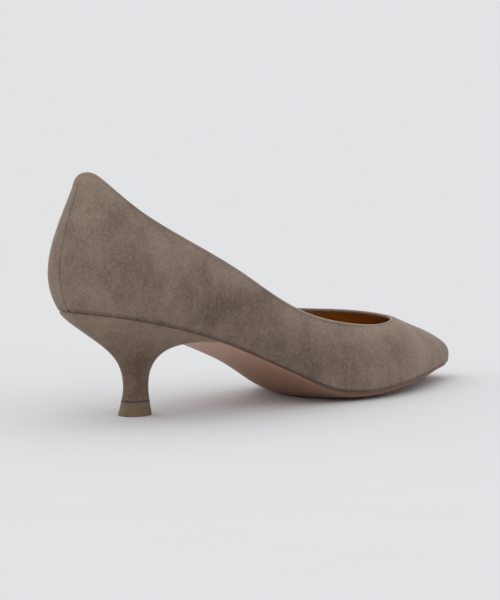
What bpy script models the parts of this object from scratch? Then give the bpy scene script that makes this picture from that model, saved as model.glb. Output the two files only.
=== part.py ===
"""Kitten-heel pump, right shoe, standing empty on its sole.

The toe points along +X, the outer side of the foot is -Y and the floor is z = 0.
A suede upper is lasted over an insole and turned in underneath; a thin leather outsole
closes it from the heel breast to the toe; a covered heel with a flared tip carries the seat.
"""
from collections import namedtuple
import math

import bmesh
import bpy
import numpy as np

MM = 0.001

# Driving sizes in millimetres
LENGTH = 240.0
BALL_WIDTH = 75.0
SEAT_HEIGHT = 48.0
BACK_HEIGHT = 108.0
WALL = 1.6
GAP = 0.3
ARCH_LIFT = 4.8
ARCH_AT = 116.0
ARCH_RUN = 23.0

LASTING_MARGIN = 6.0
INSOLE_THICKNESS = 2.0
INSOLE_INSET = 1.9
INSOLE_TOE_INSET = 4.0
INSOLE_TOE_AT = 180.0

SOLE_INSET = 0.9
SOLE_EDGE = 2.2
SOLE_CROWN = 2.8
SOLE_EDGE_ROUND = 0.9
CROWN_WIDTH = 60.0
WAIST_EDGE = 0.6
WAIST_CROWN = 0.8
WAIST_AT = 98.0
TREAD_AT = 130.0
TOE_EDGE = 0.9
TOE_AT = 185.0

HEEL_INSET = 0.3
BREAST_AT = 60.0
WING_AT = 68.0
WING_ANGLE = 50.0
SEAT_EDGE = 2.3
WING_EDGE = 0.3
SEAT_SLOPE = 48.0
WING_SLOPE = -9.0
BREAST_SLOPE = 31.0
HEEL_PULL = 0.55
STEM_PULL = 18.0
NECK_AT = 40.6
NECK_TOP = 12.3
NECK_LOW = 12.0
NECK_LONG = 12.0
NECK_WIDE = 9.7
TIP_UP = 6.2
TIP_TOP_SHARE = 1.13
TIP_FOOT_SHARE = 1.36
TIP_BACK = 0.6

TAB_DROP = 6.5
TAB_THICKNESS = 0.6

# How finely the faces are cut
COLUMNS_PER_SECTION = 4
FINE_COLUMNS = 16
TAB_COLUMNS = 8
WALL_ROWS = 11
SOLE_STRIPS = 8
SOLE_STATIONS = 26
INSOLE_STATIONS = 30
HEEL_STATIONS = 12
WING_STATIONS = 6
HEEL_ROWS = 9
NECK_ROWS = 4
TIP_SIDES = 36
TAB_ROWS = 4

# Bottom of the last along the foot: place in % of the length, height in % of the seat height
BottomRow = namedtuple("BottomRow", "at up")
LAST_BOTTOM = [
    BottomRow(-2.0, 100.0),
    BottomRow(2.0, 98.0),
    BottomRow(12.5, 88.0),
    BottomRow(23.0, 74.5),
    BottomRow(32.0, 59.5),
    BottomRow(39.5, 43.5),
    BottomRow(47.0, 25.5),
    BottomRow(53.5, 14.5),
    BottomRow(60.0, 9.9),
    BottomRow(67.0, 9.3),
    BottomRow(75.0, 11.0),
    BottomRow(83.5, 14.5),
    BottomRow(92.0, 18.0),
    BottomRow(100.0, 21.0),
]

# Sections of the last from the back seam to the toe tip.
# foot_at, top_at: place along the foot in % of the length, at the feather line and at the top edge
# foot_out, foot_in, top_out, top_in: reach to the outer and inner side in % of the ball width
# up_out, up_in: height of the top edge on each side, or of the toe ridge, in % of the back height
# base_lean, top_lean: how far the wall leans outward from upright at each end, in degrees
# base_pull, top_pull: how long the wall keeps that lean, in millimetres
Section = namedtuple("Section", "name foot_at foot_out foot_in base_lean base_pull "
                                "top_at top_out top_in up_out up_in top_lean top_pull")
SECTIONS = [
    Section("back seam", 1.5, 0.0, 0.0, 32, 22, 5.5, -2.0, 2.0, 98.3, 98.3, 22, 24),
    Section("heel turn", 3.2, 16.7, 16.7, 32, 21, 7.1, 12.9, 16.8, 94.1, 94.1, 20, 22),
    Section("heel side", 10.0, 29.3, 29.3, 32, 20, 13.1, 18.6, 21.6, 83.4, 83.4, 14, 20),
    Section("seat", 20.0, 31.3, 30.0, 32, 18, 22.0, 30.0, 29.3, 70.8, 70.8, 8, 16),
    Section("breast", 30.5, 32.0, 24.0, 34, 16, 31.3, 40.0, 37.3, 57.6, 58.0, 2, 12),
    Section("waist", 39.6, 35.5, 21.0, 36, 13, 40.0, 44.0, 41.0, 45.4, 46.4, 2, 10),
    Section("joint back", 49.2, 43.5, 27.5, 30, 11, 49.6, 44.0, 42.5, 36.5, 38.0, 8, 9),
    Section("joint", 59.2, 50.0, 41.0, 20, 11, 59.6, 39.5, 41.0, 31.8, 34.6, 25, 10),
    Section("tread", 68.0, 49.3, 48.0, 14, 11, 69.2, 28.9, 32.9, 29.1, 32.4, 48, 12),
    Section("vamp", 75.8, 42.7, 45.0, 12, 10, 76.4, 18.3, 17.5, 28.7, 31.3, 68, 14),
    Section("throat", 82.5, 34.3, 37.7, 10, 9, 81.2, -0.7, 0.7, 29.3, 29.3, 86, 15),
    Section("toe box", 89.0, 23.3, 27.5, 9, 7, 86.7, -2.0, 2.0, 24.9, 24.9, 88, 13),
    Section("toe side", 94.2, 13.3, 17.5, 7, 5, 92.0, -2.7, 2.7, 20.7, 20.7, 89, 9),
    Section("toe turn", 97.5, 5.5, 10.7, 5, 4, 96.1, -3.3, 3.3, 16.8, 16.8, 88, 5),
    Section("toe tip", 98.4, -2.7, 2.7, 5, 4, 96.5, -3.3, 3.3, 16.0, 16.0, 88, 5),
]
THROAT_ROW = [section.name for section in SECTIONS].index("throat")


def spline(places, values, samples, closed=False):
    """Smooth curve through rows of values; closed joins its end to its start."""
    places = np.asarray(places, float)
    values = np.asarray(values, float).reshape(len(places), -1)
    count = len(places)
    step = np.diff(places)
    slope = np.diff(values, axis=0) / step[:, None]
    matrix = np.eye(count)
    right = np.zeros_like(values)
    for i in range(1, count - 1):
        matrix[i, i - 1:i + 2] = step[i - 1], 2 * (step[i - 1] + step[i]), step[i]
        right[i] = 6 * (slope[i] - slope[i - 1])
    if closed:
        matrix[0, -1] = -1
        matrix[-1] = 0
        matrix[-1, [0, 1]] = 2 * step[0], step[0]
        matrix[-1, [-2, -1]] = step[-1], 2 * step[-1]
        right[-1] = 6 * (slope[0] - slope[-1])
    bend = np.linalg.solve(matrix, right)
    samples = np.asarray(samples, float)
    cell = np.clip(np.searchsorted(places, samples, "right") - 1, 0, count - 2)
    width = step[cell][:, None]
    after = (samples - places[cell])[:, None] / width
    before = 1 - after
    curve = before * values[cell] + after * values[cell + 1]
    sag = (before ** 3 - before) * bend[cell] + (after ** 3 - after) * bend[cell + 1]
    return curve + sag * width ** 2 / 6


def bottom(x, y):
    """Height of the last's bottom; the inner side of the arch is lifted."""
    places = [row.at * LENGTH / 100 for row in LAST_BOTTOM]
    heights = [row.up * SEAT_HEIGHT / 100 for row in LAST_BOTTOM]
    x = np.asarray(x, float)
    middle = spline(places, heights, x.ravel()).reshape(x.shape)
    inner = np.maximum(y, 0) / (BALL_WIDTH / 3)
    return middle + ARCH_LIFT * np.exp(-((x - ARCH_AT) / ARCH_RUN) ** 2) * inner ** 2


def around(outer, inner):
    """Values of the outer side from back to toe, then of the inner side from toe to back."""
    return list(outer) + list(inner)[-2:0:-1] + [outer[0]]


def ring_places(points):
    """Places of ring rows along their own curve, closer where the rows are close."""
    lengths = np.linalg.norm(np.diff(points, axis=0), axis=1)
    return np.concatenate([[0.0], np.cumsum(np.sqrt(lengths))])


def between(places, per_section):
    """The same number of samples in each stretch between rows, the last row left out."""
    stretches = [np.linspace(a, b, per_section, endpoint=False) for a, b in zip(places, places[1:])]
    return np.concatenate(stretches)


def section_rows(at, out, inn, up_out=None, up_in=None):
    """Points of one column set of the section table, round the shoe from the back seam."""
    x = np.array([getattr(section, at) for section in SECTIONS]) * LENGTH / 100
    sides = []
    for reach, up, sign in ((out, up_out, -1), (inn, up_in, 1)):
        y = np.array([getattr(section, reach) for section in SECTIONS]) * sign * BALL_WIDTH / 100
        z = [getattr(section, up) * BACK_HEIGHT / 100 for section in SECTIONS] if up else bottom(x, y)
        sides.append(np.column_stack([x, y, z]))
    return sides


def feather_line(per_section):
    """Closed plan line where the upper turns under, from the back seam round by the outer side."""
    points = np.array(around(*section_rows("foot_at", "foot_out", "foot_in")))[:, :2]
    places = ring_places(points)
    return spline(places, points, between(places, per_section), closed=True)


def outward(ring):
    """Unit direction out of a closed plan line at each of its points."""
    along = np.roll(ring, -1, axis=0) - np.roll(ring, 1, axis=0)
    normal = np.column_stack([along[:, 1], -along[:, 0]])
    normal /= np.linalg.norm(normal, axis=1)[:, None]
    return normal if normal[0, 0] < 0 else -normal


def top_line(per_section):
    """Top end of every wall column: the opening's edge, then the ridge of the toe."""
    out, inn = section_rows("top_at", "top_out", "top_in", "up_out", "up_in")
    edge = np.array(around(out[:THROAT_ROW + 1], inn[:THROAT_ROW + 1]))
    edge_places = ring_places(edge)
    opening = spline(edge_places, edge, between(edge_places, per_section), closed=True)
    ridge = inn[THROAT_ROW:]
    ridge_places = ring_places(ridge)
    crest = spline(ridge_places, ridge, np.append(between(ridge_places, per_section), ridge_places[-1]))
    throat = THROAT_ROW * per_section
    return np.vstack([opening[:throat], crest, crest[-2:0:-1], opening[throat:]])


def wall_columns(per_section):
    """Four control points of each wall column, from the feather line to the top."""
    foot = np.array(around(*section_rows("foot_at", "foot_out", "foot_in")))
    top_out, top_in = section_rows("top_at", "top_out", "top_in", "up_out", "up_in")
    top = np.array(around(top_out, top_in))
    fall = np.gradient(top_in[:, 2], top_in[:, 0])
    fall[:THROAT_ROW] = 0
    fall = np.array(around(fall, fall))
    settings = [(s.base_lean, s.base_pull, s.top_lean, s.top_pull) for s in SECTIONS]
    base_lean, base_pull, top_lean, top_pull = np.array(around(settings, settings)).T[:, :, None]
    base_lean = np.radians(base_lean)
    top_lean = np.radians(top_lean)
    out = outward(feather_line(FINE_COLUMNS))[::FINE_COLUMNS]
    out = np.vstack([out, out[:1]])
    rise = np.hstack([out * np.sin(base_lean), np.cos(base_lean)])
    run = out * np.sin(top_lean)
    drop = np.hstack([run, fall[:, None] * run[:, :1] - np.cos(top_lean)])
    drop /= np.linalg.norm(drop, axis=1)[:, None]
    places = ring_places(foot[:, :2])
    samples = between(places, per_section)
    plan = feather_line(per_section)
    return (np.column_stack([plan, bottom(*plan.T)]),
            spline(places, foot + rise * base_pull, samples, closed=True),
            spline(places, top + drop * top_pull, samples, closed=True),
            top_line(per_section))


def bezier(controls, shares):
    """Points of curved columns at shares of their run: one row of points for each share."""
    share = np.asarray(shares, float)[:, None, None]
    order = len(controls) - 1
    return sum(math.comb(order, i) * (1 - share) ** (order - i) * share ** i * control
               for i, control in enumerate(controls))


def offset_up(x, y, height):
    """Height of a surface that follows the last's bottom at a distance square to it."""
    step = 0.5
    slope = (bottom(x + step, y) - bottom(x - step, y)) / (2 * step)
    return bottom(x, y) + height * np.hypot(1, slope)


def inset_line(inset):
    """Feather line moved in by a distance, in plan, finely cut."""
    ring = feather_line(FINE_COLUMNS)
    return ring - outward(ring) * inset


def line_ends(inset):
    """Place along the foot of the back and the toe tip of the feather line moved in by inset."""
    ring = inset_line(inset)
    return ring[0, 0], ring[len(ring) // 2, 0]


def side_lines(x, inset):
    """Outer and inner side of the feather line, moved in by inset, at places along the foot."""
    ring = inset_line(inset)
    tip = len(ring) // 2
    outer = ring[:tip + 1]
    inner = np.vstack([ring[:1], ring[:tip - 1:-1]])
    return np.interp(x, outer[:, 0], outer[:, 1]), np.interp(x, inner[:, 0], inner[:, 1])


def breast_line(stations):
    """Hollow front edge of the heel: place and share of the width, from its middle to a wing tip."""
    share = np.linspace(0, 1, stations + 1)
    return BREAST_AT + (WING_AT - BREAST_AT) * share ** 2, share


def material(name, colour, roughness):
    """One plain finish."""
    made = bpy.data.materials.new(name)
    made.use_nodes = True
    shader = made.node_tree.nodes["Principled BSDF"]
    shader.inputs["Base Color"].default_value = (*colour, 1)
    shader.inputs["Roughness"].default_value = roughness
    shader.inputs["Metallic"].default_value = 0.0
    return made


def add_object(name, points, faces, finish):
    """Closed mesh from points in millimetres, welded, faces turned out, round faces smooth."""
    shape = bmesh.new()
    corners = [shape.verts.new(np.asarray(point, float) * MM) for point in points]
    for face in faces:
        shape.faces.new([corners[i] for i in dict.fromkeys(face)])
    bmesh.ops.remove_doubles(shape, verts=shape.verts[:], dist=0.01 * MM)
    bmesh.ops.recalc_face_normals(shape, faces=shape.faces[:])
    mesh = bpy.data.meshes.new(name)
    shape.to_mesh(mesh)
    shape.free()
    mesh.shade_smooth()
    mesh.set_sharp_from_angle(angle=math.radians(40))
    mesh.materials.append(finish)
    piece = bpy.data.objects.new(name, mesh)
    bpy.context.scene.collection.objects.link(piece)
    return piece


def strip(first, second, closed):
    """Quads between two rows of point numbers of the same length."""
    count = len(first)
    last = count if closed else count - 1
    return [(first[i], first[(i + 1) % count], second[(i + 1) % count], second[i]) for i in range(last)]


def stack(rows, closed=True):
    """Points and quads of a run of rows, with the numbers of each row."""
    points = [point for row in rows for point in row]
    width = len(rows[0])
    numbers = [list(range(i * width, (i + 1) * width)) for i in range(len(rows))]
    faces = [face for a, b in zip(numbers, numbers[1:]) for face in strip(a, b, closed)]
    return points, faces, numbers


def make_upper(finish):
    """Suede wall from the turned-in margin to the top edge, thickened inward."""
    columns = wall_columns(COLUMNS_PER_SECTION)
    foot_plan = columns[0][:, :2]
    back, tip = line_ends(0)
    spine = np.clip(foot_plan[:, 0], back + 3 * LASTING_MARGIN, tip - 3 * LASTING_MARGIN)
    middle = np.mean(side_lines(spine, 0), axis=0)
    turn = np.column_stack([spine, middle]) - foot_plan
    turn /= np.linalg.norm(turn, axis=1)[:, None]
    margin_plan = foot_plan + turn * LASTING_MARGIN
    margin = np.column_stack([margin_plan, bottom(*margin_plan.T)])
    points, faces, _ = stack([margin, *bezier(columns, np.linspace(0, 1, WALL_ROWS + 1))])
    upper = add_object("upper", points, faces, finish)
    wall = upper.modifiers.new("wall", "SOLIDIFY")
    wall.thickness = WALL * MM
    wall.offset = -1
    wall.use_even_offset = True
    wall.use_quality_normals = True


def border(grid):
    """Numbers of the points round the edge of a grid."""
    far_side = [row[-1] for row in grid[1:-1]]
    near_side = [row[0] for row in grid[-2:0:-1]]
    return grid[0] + far_side + grid[-1][::-1] + near_side


def plate(name, top_rows, foot_rows, finish):
    """Closed plate from two grids of the same number of rows and strips."""
    count = len(top_rows)
    points, faces, numbers = stack([*top_rows, *foot_rows], closed=False)
    strips = len(top_rows[0]) - 1
    joint = (count - 1) * strips
    del faces[joint:joint + strips]
    edge = strip(border(numbers[:count]), border(numbers[count:]), closed=True)
    add_object(name, points, faces + edge, finish)


def across(x, outer, inner, height):
    """Row of points from the outer to the inner side; a row without width is one point."""
    share = np.linspace(-1, 1, SOLE_STRIPS + 1)
    y = (outer + inner) / 2 + share * (inner - outer) / 2
    share = share if inner - outer > GAP else np.ones_like(share)
    return np.column_stack([np.full_like(y, x), y, height(np.full_like(y, x), y, share)])


def make_insole(finish):
    """Leather-covered board lying on the turned-in margin."""
    back = line_ends(INSOLE_INSET)[0]
    tip = line_ends(INSOLE_TOE_INSET)[1]
    x = back + (tip - back) * (1 - np.cos(np.linspace(0, np.pi, INSOLE_STATIONS))) / 2
    toe = np.clip((x - INSOLE_TOE_AT) / (tip - INSOLE_TOE_AT), 0, 1)
    wide = np.array(side_lines(x, INSOLE_INSET))
    outer, inner = wide + (np.array(side_lines(x, INSOLE_TOE_INSET)) - wide) * toe
    rest = WALL + GAP
    top = [across(*row, lambda x, y, share: offset_up(x, y, rest + INSOLE_THICKNESS))
           for row in zip(x, outer, inner)]
    foot = [across(*row, lambda x, y, share: offset_up(x, y, rest)) for row in zip(x, outer, inner)]
    plate("insole", top, foot, finish)


def sole_stations(inset):
    """Places and sides of the outsole, from the middle of the breast to the toe tip."""
    breast, share = breast_line(WING_STATIONS)
    tip = line_ends(inset)[1]
    run = np.sin(np.linspace(0, np.pi / 2, SOLE_STATIONS))[1:]
    x = np.concatenate([breast, WING_AT + (tip - WING_AT) * run])
    outer, inner = side_lines(x, inset)
    narrowing = np.concatenate([share, np.ones(len(run))])
    clearance = GAP * (x <= WING_AT)
    return zip(x + clearance, outer * narrowing, inner * narrowing)


def sole_foot(x, y, share):
    """Underside of the outsole: crowned across, worn flat where it stands on the floor."""
    tread = np.clip((x - WAIST_AT) / (TREAD_AT - WAIST_AT), 0, 1)
    tread = tread ** 2 * (3 - 2 * tread)
    toe = np.clip((x - TOE_AT) / (LENGTH - TOE_AT), 0, 1)
    edge = WAIST_EDGE + (SOLE_EDGE - WAIST_EDGE) * tread + (TOE_EDGE - SOLE_EDGE) * toe
    crown = WAIST_CROWN + (SOLE_CROWN - WAIST_CROWN) * tread
    crown = crown * min(np.ptp(y) / CROWN_WIDTH, 1)
    thickness = edge + crown * (1 - share ** 2)
    return np.maximum(offset_up(x, y, -GAP - thickness), 0)


def make_outsole(finish):
    """Thin leather sole from the heel breast to the toe tip."""
    top = [across(*row, lambda x, y, share: offset_up(x, y, -GAP)) for row in sole_stations(SOLE_INSET)]
    foot = [across(*row, sole_foot) for row in sole_stations(SOLE_INSET + SOLE_EDGE_ROUND)]
    plate("outsole", top, foot, finish)


def neck_ring(angles, scale, height):
    """Oval of the heel's stem at given angles; as it flares it moves back."""
    flare = (scale - 1) / (TIP_FOOT_SHARE - 1)
    x = NECK_AT - TIP_BACK * flare + NECK_LONG / 2 * scale * np.cos(angles)
    y = NECK_WIDE / 2 * scale * np.sin(angles)
    return np.column_stack([x, y, np.full_like(x, height)])


def make_heel(finish):
    """Covered heel: seat with two wings along the sole, hollow breast, slim stem."""
    back = line_ends(HEEL_INSET)[0]
    quarter = np.linspace(0, np.pi / 2, HEEL_STATIONS + 1)
    seat_x = back + (BREAST_AT - back) * (1 - np.cos(quarter))
    breast, share = breast_line(WING_STATIONS)
    x = np.concatenate([seat_x, breast[1:]])
    outer, inner = side_lines(x, HEEL_INSET)
    hollow_edge = np.full(WING_STATIONS, WING_EDGE)
    sides = []
    for line, sign in ((outer, -1), (inner, 1)):
        edge = np.column_stack([x, line])
        steps = np.linalg.norm(np.diff(edge, axis=0), axis=1)
        run = np.concatenate([[0.0], np.cumsum(steps)]) / steps.sum()
        seat_edge = SEAT_EDGE + (WING_EDGE - SEAT_EDGE) * run
        hollow = np.column_stack([breast, line[HEEL_STATIONS:] * share])[::-1][1:]
        edge_angle = sign * (np.pi - np.radians(180 - WING_ANGLE) * run)
        hollow_angle = sign * np.radians(WING_ANGLE) * share[::-1][1:]
        slope = SEAT_SLOPE + (WING_SLOPE - SEAT_SLOPE) * run
        hollow_slope = BREAST_SLOPE + (WING_SLOPE - BREAST_SLOPE) * share[::-1][1:] ** 2
        sides.append(np.column_stack([np.vstack([edge, hollow]),
                                      np.concatenate([edge_angle, hollow_angle]),
                                      np.radians(np.concatenate([slope, hollow_slope])),
                                      np.concatenate([seat_edge, hollow_edge])]))
    ring = np.vstack([sides[0], sides[1][-2:0:-1]])
    plan, angles, slopes, edges = ring[:, :2], ring[:, 2], ring[:, 3], ring[:, 4:]
    rim = np.column_stack([plan, offset_up(*plan.T, -GAP)])
    land = np.column_stack([plan, offset_up(*plan.T, -GAP - WAIST_EDGE)])
    brow = land - edges * [0, 0, 1]
    neck = neck_ring(angles, 1, NECK_TOP)
    inward = neck[:, :2] - plan
    reach = np.linalg.norm(inward, axis=1)
    inward /= reach[:, None]
    dive = np.column_stack([inward * np.cos(slopes)[:, None], -np.sin(slopes)])
    pull = HEEL_PULL * reach[:, None]
    rise = np.array([0, 0, STEM_PULL])
    shares = np.linspace(0, 1, HEEL_ROWS + 1)
    rows = [rim, *bezier((land, brow, brow + dive * pull, neck + rise, neck), shares)]
    for height in np.linspace(NECK_TOP, TIP_UP + GAP, NECK_ROWS + 1)[1:]:
        flare = max(NECK_LOW - height, 0) / (NECK_LOW - TIP_UP)
        rows.append(neck_ring(angles, 1 + (TIP_TOP_SHARE - 1) * flare ** 2, height))
    points, faces, numbers = stack(rows)
    top = numbers[0]
    count = len(top)
    for i in range(HEEL_STATIONS - 1):
        faces.append((top[i], top[i + 1], top[-i - 1], top[-i]))
    i = HEEL_STATIONS
    centre = top[count // 2]
    faces.append((top[i - 1], top[i], centre, top[-i], top[1 - i]))
    for k in range(WING_STATIONS):
        faces.append((top[i + k], top[i + k + 1], top[count // 2 - k - 1], top[count // 2 - k]))
        faces.append((top[-i - k], top[-i - k - 1], top[count // 2 + k + 1], top[count // 2 + k]))
    faces.append(numbers[-1])
    add_object("heel", points, faces, finish)


def make_heel_tip(finish):
    """Flared top piece nailed under the stem, flat on the floor."""
    angles = np.linspace(0, 2 * np.pi, TIP_SIDES, endpoint=False)
    spread = TIP_FOOT_SHARE - TIP_TOP_SHARE
    rows = [neck_ring(angles, TIP_TOP_SHARE + spread * share ** 1.4, TIP_UP * (1 - share))
            for share in np.linspace(0, 1, 4)]
    points, faces, numbers = stack(rows)
    add_object("heel_tip", points, faces + [numbers[0], numbers[-1]], finish)


def make_back_tab(finish):
    """Tail of the outer quarter, folded over the top of the back seam and cut level below."""
    columns = wall_columns(TAB_COLUMNS)
    shares = np.linspace(0.7, 1, 121)
    wall = bezier(columns, shares)
    cut = wall[-1, 0, 2] - TAB_DROP
    inner_columns = [0]
    while wall[-1, inner_columns[-1] - 1, 2] > cut:
        inner_columns.append(inner_columns[-1] - 1)
    grid = []
    for column in inner_columns:
        low = np.interp(cut, wall[:, column, 2], shares)
        grid.append([bezier([c[[column]] for c in columns], [t])[0, 0]
                     for t in np.linspace(low, 1, TAB_ROWS + 1)])
    grid = np.array(grid)
    normals = np.cross(np.gradient(grid, axis=1), np.gradient(grid, axis=0))
    normals /= np.linalg.norm(normals, axis=2)[:, :, None]
    normals *= np.sign(-normals[0, 0, 0])
    plate("back_tab", list(grid + normals * (GAP + TAB_THICKNESS)), list(grid + normals * GAP), finish)


def centre_on_floor():
    """Move every piece so that the middle of the whole shoe's plan is the origin."""
    pieces = [piece for piece in bpy.data.objects if piece.type == "MESH"]
    corners = np.array([vertex.co for piece in pieces for vertex in piece.data.vertices])
    middle = (corners.min(axis=0) + corners.max(axis=0)) / 2
    for piece in pieces:
        for vertex in piece.data.vertices:
            vertex.co.x -= middle[0]
            vertex.co.y -= middle[1]


for old in list(bpy.data.objects):
    bpy.data.objects.remove(old, do_unlink=True)

suede = material("suede", (0.20, 0.155, 0.125), 0.95)
heel_suede = material("heel suede", (0.18, 0.14, 0.115), 0.95)
sock_leather = material("sock leather", (0.28, 0.13, 0.045), 0.5)
sole_leather = material("sole leather", (0.42, 0.27, 0.22), 0.45)
tip_rubber = material("tip rubber", (0.15, 0.11, 0.06), 0.5)

make_upper(suede)
make_back_tab(suede)
make_insole(sock_leather)
make_outsole(sole_leather)
make_heel(heel_suede)
make_heel_tip(tip_rubber)
centre_on_floor()
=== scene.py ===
import math
from collections import namedtuple

import bmesh
import bpy
import numpy as np
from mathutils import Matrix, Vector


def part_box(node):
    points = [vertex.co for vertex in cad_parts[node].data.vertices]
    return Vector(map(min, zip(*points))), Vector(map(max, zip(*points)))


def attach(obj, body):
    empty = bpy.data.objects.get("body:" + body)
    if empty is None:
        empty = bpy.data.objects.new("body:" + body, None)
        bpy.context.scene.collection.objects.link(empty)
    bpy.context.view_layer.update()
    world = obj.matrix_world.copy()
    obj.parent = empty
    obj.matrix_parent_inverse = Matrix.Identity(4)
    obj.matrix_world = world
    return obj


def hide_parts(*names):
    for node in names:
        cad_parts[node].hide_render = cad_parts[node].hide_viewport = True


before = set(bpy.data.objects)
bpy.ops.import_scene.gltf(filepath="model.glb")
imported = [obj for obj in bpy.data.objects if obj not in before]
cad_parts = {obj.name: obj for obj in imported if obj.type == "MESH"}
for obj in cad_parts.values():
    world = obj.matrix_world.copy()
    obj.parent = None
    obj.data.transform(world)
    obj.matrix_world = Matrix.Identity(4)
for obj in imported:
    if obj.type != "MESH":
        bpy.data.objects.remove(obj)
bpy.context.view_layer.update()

# Upper: one shell of taupe suede, closed by a seam up the back, pulled over the last and
# turned in under the insole. The top edge is folded, so it ends in a soft round hem, and
# the feather edge is rounded where it goes under the sole.
MM = 0.001
LENGTH = 240.0
BALL_WIDTH = 75.0
SEAT_HEIGHT = 48.0
BACK_HEIGHT = 108.0
ARCH_LIFT = 4.8
ARCH_AT = 116.0
ARCH_RUN = 23.0
WALL = 1.6
SUEDE_THICKNESS = 0.6
FEATHER_ROUND = 0.7
LASTING_MARGIN = 6.0
HEM_ROUND = WALL / 2
HEM_BLEND = 0.8
HEM_FADE = 6.0
HEM_INSIDE = (0.4, 0.9, 1.4, 1.6)
FOLD_AT = 1.5
FOLD_WIDTH = 0.35
FOLD_DEPTH = 0.14
COLUMNS = 14
SEAM_COLUMNS = 72
WALL_ROWS = 58
TOP_SHARE = 0.93
TOP_ROWS = 15
HEM_ROWS = 10
FEATHER_ROWS = 4

# Bottom of the last: place in % of the length, height in % of the seat height
BottomRow = namedtuple("BottomRow", "at up")
LAST_BOTTOM = [
    BottomRow(-2.0, 100.0),
    BottomRow(2.0, 98.0),
    BottomRow(12.5, 88.0),
    BottomRow(23.0, 74.5),
    BottomRow(32.0, 59.5),
    BottomRow(39.5, 43.5),
    BottomRow(47.0, 26.1),
    BottomRow(53.5, 12.9),
    BottomRow(60.0, 8.3),
    BottomRow(67.0, 9.3),
    BottomRow(75.0, 12.4),
    BottomRow(83.5, 15.2),
    BottomRow(92.0, 16.1),
    BottomRow(100.0, 15.8),
]

# Sections of the last from the back seam to the toe tip: places in % of the length, reaches in %
# of the ball width, heights in % of the back height, leans in degrees and pulls in millimetres
Section = namedtuple("Section", "name foot_at foot_out foot_in base_lean base_pull "
                                "top_at top_out top_in up_out up_in top_lean top_pull")
SECTIONS = [
    Section("back seam", 1.5, 0.0, 0.0, 32, 22, 6.0, -3.0, 3.0, 98.9, 98.9, 22, 24),
    Section("heel turn", 3.2, 16.7, 16.7, 32, 21, 6.9, 10.0, 16.0, 95.6, 94.2, 20, 22),
    Section("heel side", 10.0, 29.3, 29.3, 32, 20, 13.3, 17.8, 22.4, 83.5, 83.4, 14, 20),
    Section("seat", 20.0, 31.3, 30.0, 32, 18, 22.0, 30.0, 29.3, 70.4, 70.8, 8, 16),
    Section("breast", 30.5, 32.0, 24.0, 34, 16, 31.3, 40.0, 37.3, 57.6, 58.0, 2, 12),
    Section("waist", 39.6, 35.5, 21.0, 36, 13, 40.0, 44.0, 41.0, 45.4, 46.4, 2, 10),
    Section("joint back", 49.2, 43.5, 27.5, 30, 11, 49.6, 44.0, 42.5, 36.5, 38.0, 8, 9),
    Section("joint", 59.2, 50.0, 41.0, 20, 11, 59.6, 39.5, 41.0, 31.8, 34.6, 25, 10),
    Section("tread", 68.0, 49.3, 48.0, 14, 11, 69.2, 28.9, 32.9, 29.1, 32.4, 48, 12),
    Section("vamp", 75.8, 42.7, 45.0, 12, 10, 76.4, 18.3, 17.5, 28.7, 31.3, 68, 14),
    Section("throat", 82.5, 34.3, 37.7, 10, 9, 81.2, -0.7, 0.7, 29.3, 29.3, 86, 15),
    Section("toe box", 89.0, 22.8, 27.5, 9, 7, 86.7, -2.0, 2.0, 24.9, 24.9, 88, 13),
    Section("toe side", 94.0, 13.7, 17.5, 8, 5, 92.0, -2.7, 2.7, 20.7, 20.7, 89, 9),
    Section("toe turn", 96.4, 5.5, 10.5, 26, 6, 96.1, -3.3, 3.3, 16.7, 16.7, 88, 5),
    Section("toe tip", 97.7, -2.7, 2.7, 18, 5, 96.5, -3.3, 3.3, 16.2, 16.2, 88, 5),
]
THROAT_ROW = [section.name for section in SECTIONS].index("throat")
TOE_ROW = len(SECTIONS) - 1
RING_ROWS = 2 * TOE_ROW


def spline(places, values, samples, closed=False):
    """Smooth curve through rows of values; closed joins its end to its start."""
    places = np.asarray(places, float)
    values = np.asarray(values, float).reshape(len(places), -1)
    count = len(places)
    step = np.diff(places)
    slope = np.diff(values, axis=0) / step[:, None]
    matrix = np.eye(count)
    right = np.zeros_like(values)
    for i in range(1, count - 1):
        matrix[i, i - 1:i + 2] = step[i - 1], 2 * (step[i - 1] + step[i]), step[i]
        right[i] = 6 * (slope[i] - slope[i - 1])
    if closed:
        matrix[0, -1] = -1
        matrix[-1] = 0
        matrix[-1, [0, 1]] = 2 * step[0], step[0]
        matrix[-1, [-2, -1]] = step[-1], 2 * step[-1]
        right[-1] = 6 * (slope[0] - slope[-1])
    bend = np.linalg.solve(matrix, right)
    samples = np.asarray(samples, float)
    cell = np.clip(np.searchsorted(places, samples, "right") - 1, 0, count - 2)
    width = step[cell][:, None]
    after = (samples - places[cell])[:, None] / width
    before = 1 - after
    curve = before * values[cell] + after * values[cell + 1]
    sag = (before ** 3 - before) * bend[cell] + (after ** 3 - after) * bend[cell + 1]
    return curve + sag * width ** 2 / 6


def ease(x):
    """Smooth step from 0 to 1."""
    x = np.clip(x, 0, 1)
    return x * x * (3 - 2 * x)


def unit(vectors):
    """Vectors of length one."""
    return vectors / np.maximum(np.linalg.norm(vectors, axis=-1, keepdims=True), 1e-9)


def bottom(x, y):
    """Height of the last's bottom; the inner side of the arch is lifted."""
    places = [row.at * LENGTH / 100 for row in LAST_BOTTOM]
    heights = [row.up * SEAT_HEIGHT / 100 for row in LAST_BOTTOM]
    x = np.asarray(x, float)
    middle = spline(places, heights, x.ravel()).reshape(x.shape)
    inner = np.maximum(y, 0) / (BALL_WIDTH / 3)
    return middle + ARCH_LIFT * np.exp(-((x - ARCH_AT) / ARCH_RUN) ** 2) * inner ** 2


def around(outer, inner):
    """Values of the outer side from back to toe, then of the inner side from toe to back."""
    return list(outer) + list(inner)[-2:0:-1] + [outer[0]]


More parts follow.
